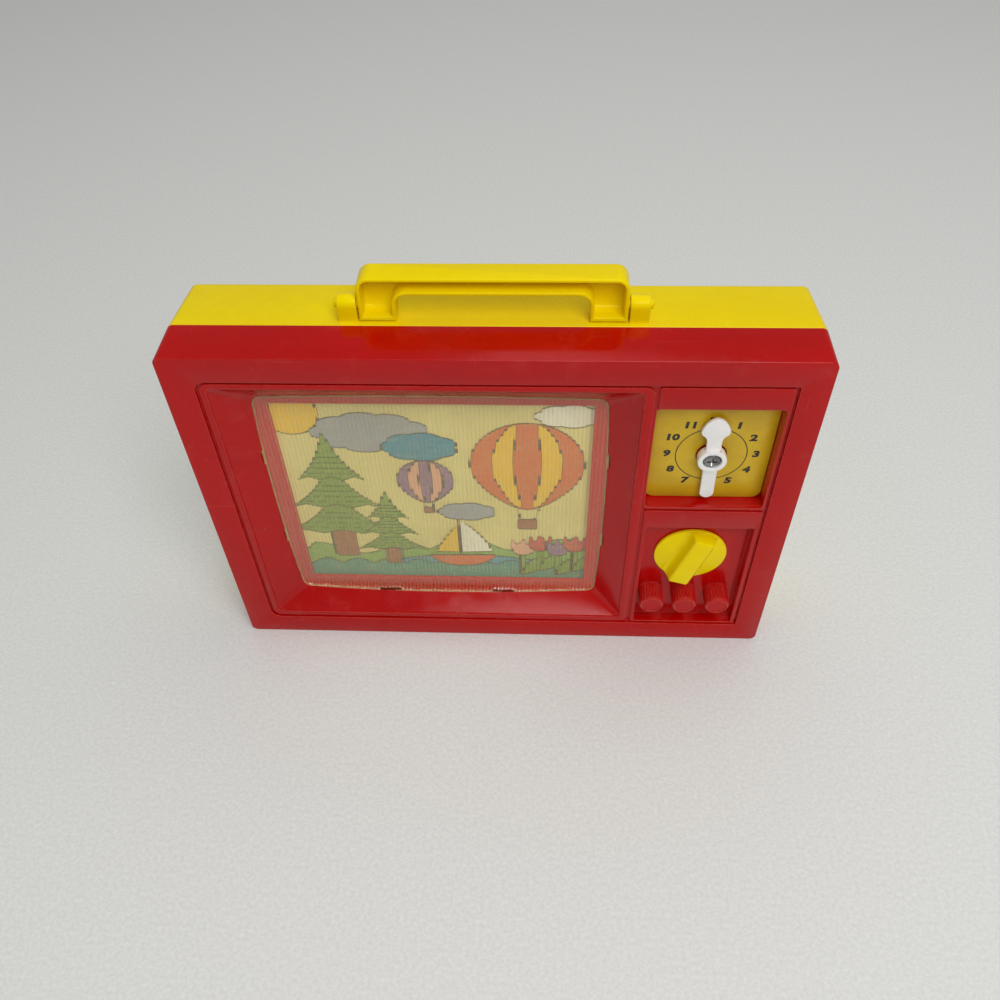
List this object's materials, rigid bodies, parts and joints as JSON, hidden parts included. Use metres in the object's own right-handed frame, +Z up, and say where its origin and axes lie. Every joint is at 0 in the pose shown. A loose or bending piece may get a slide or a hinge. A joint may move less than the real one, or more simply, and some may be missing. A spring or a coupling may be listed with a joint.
{
  "type": "musical toy television",
  "caption": "Wind-up musical toy in the form of a portable television, with a scrolling picture band behind a ribbed window, a play clock with a turning hand and a folding handle.",
  "frame": {"origin": "middle of the case's underside, half way between its front and back faces, where it stands on the floor", "axes": "+X to the right as the screen is seen, +Y from the screen to the back, +Z up"},
  "size_m": [0.25, 0.0529, 0.193],
  "materials": {
    "red_plastic": "glossy moulded red plastic",
    "yellow_plastic": "glossy moulded yellow plastic",
    "white_plastic": "glossy moulded white plastic",
    "clear_plastic": "clear plastic with upright ribs",
    "dial_card": "printed card, satin",
    "film": "printed plastic film, matt",
    "natural_plastic": "natural acetal, satin",
    "steel": "bright steel",
    "brass": "brass, satin",
    "cast_metal": "die-cast, as cast"
  },
  "bodies": {
    "case": {"front_case": "red_plastic", "rear_case": "yellow_plastic", "screen_lens": "clear_plastic", "clock_dial": "dial_card", "clock_hand_screw": "steel", "movement_bed_plate": "cast_metal", "music_comb": "steel", "comb_screw_1": "steel", "comb_screw_2": "steel", "governor_bracket": "brass", "governor_screw": "steel", "idler_gear_pin": "steel", "picture_carrier": "natural_plastic", "picture_band": "film", "case_screw_1": "steel", "case_screw_2": "steel", "case_screw_3": "steel", "case_screw_4": "steel", "case_screw_5": "steel", "case_screw_6": "steel", "movement_screw_1": "steel", "movement_screw_2": "steel", "movement_screw_3": "steel", "carrier_screw_1": "steel", "carrier_screw_2": "steel", "carrier_screw_3": "steel", "carrier_screw_4": "steel"},
    "handle": {"carry_handle": "yellow_plastic"},
    "hand": {"clock_hand": "white_plastic"},
    "knob": {"wind_knob": "yellow_plastic", "winding_arbor": "steel"},
    "barrel": {"spring_barrel": "brass", "barrel_cover": "brass", "mainspring": "steel"},
    "cylinder": {"cylinder_shaft": "steel", "pinned_cylinder": "brass", "cylinder_pinion": "brass", "cylinder_gear": "natural_plastic"},
    "governor_wheel": {"governor_wheel": "natural_plastic"},
    "governor_worm": {"governor_worm": "natural_plastic"},
    "idler_gear": {"idler_gear": "natural_plastic"},
    "drive_roller": {"drive_roller": "natural_plastic", "drive_roller_shaft": "steel", "drive_roller_gear": "natural_plastic"},
    "idler_roller": {"idler_roller": "natural_plastic", "idler_roller_shaft": "steel"}
  },
  "joints": [
    {"name": "handle_fold", "type": "hinge", "parent": "case", "child": "handle", "pos_m": [0, 0.0014, 0.1803], "axis": [-1, 0, 0], "range_deg": [0, 82]},
    {"name": "hand_turn", "type": "hinge", "parent": "case", "child": "hand", "pos_m": [0.0874, 0, 0.1207], "axis": [0, 1, 0], "continuous": true},
    {"name": "knob_wind", "type": "hinge", "parent": "case", "child": "knob", "pos_m": [0.0864, 0, 0.0598], "axis": [0, 1, 0], "continuous": true},
    {"name": "barrel_turn", "type": "hinge", "parent": "case", "child": "barrel", "pos_m": [0.0864, -0.0102, 0.0598], "axis": [0, 1, 0], "continuous": true},
    {"name": "cylinder_turn", "type": "hinge", "parent": "case", "child": "cylinder", "pos_m": [0.0864, 0.0054, 0.0167], "axis": [0, 0, 1], "continuous": true},
    {"name": "governor_wheel_turn", "type": "hinge", "parent": "case", "child": "governor_wheel", "pos_m": [0.0968, 0.0054, 0.0167], "axis": [0, 0, 1], "continuous": true},
    {"name": "governor_worm_turn", "type": "hinge", "parent": "case", "child": "governor_worm", "pos_m": [0.10495, -0.0102, 0.0121], "axis": [0, 1, 0], "continuous": true},
    {"name": "idler_gear_turn", "type": "hinge", "parent": "case", "child": "idler_gear", "pos_m": [0.06965, 0.0067, 0.0167], "axis": [0, 0, 1], "continuous": true},
    {"name": "drive_roller_turn", "type": "hinge", "parent": "case", "child": "drive_roller", "pos_m": [0.0528, -0.0025, 0.087], "axis": [0, 0, 1], "continuous": true},
    {"name": "idler_roller_turn", "type": "hinge", "parent": "case", "child": "idler_roller", "pos_m": [-0.103, -0.0025, 0.087], "axis": [0, 0, 1], "continuous": true}
  ],
  "couplings": [
    {"joint": "cylinder_turn", "follows": "barrel_turn", "ratio": -2},
    {"joint": "governor_wheel_turn", "follows": "barrel_turn", "ratio": 4.5},
    {"joint": "governor_worm_turn", "follows": "barrel_turn", "ratio": -90},
    {"joint": "idler_gear_turn", "follows": "barrel_turn", "ratio": 1.5},
    {"joint": "drive_roller_turn", "follows": "barrel_turn", "ratio": -1.5},
    {"joint": "idler_roller_turn", "follows": "barrel_turn", "ratio": -1.5}
  ]
}
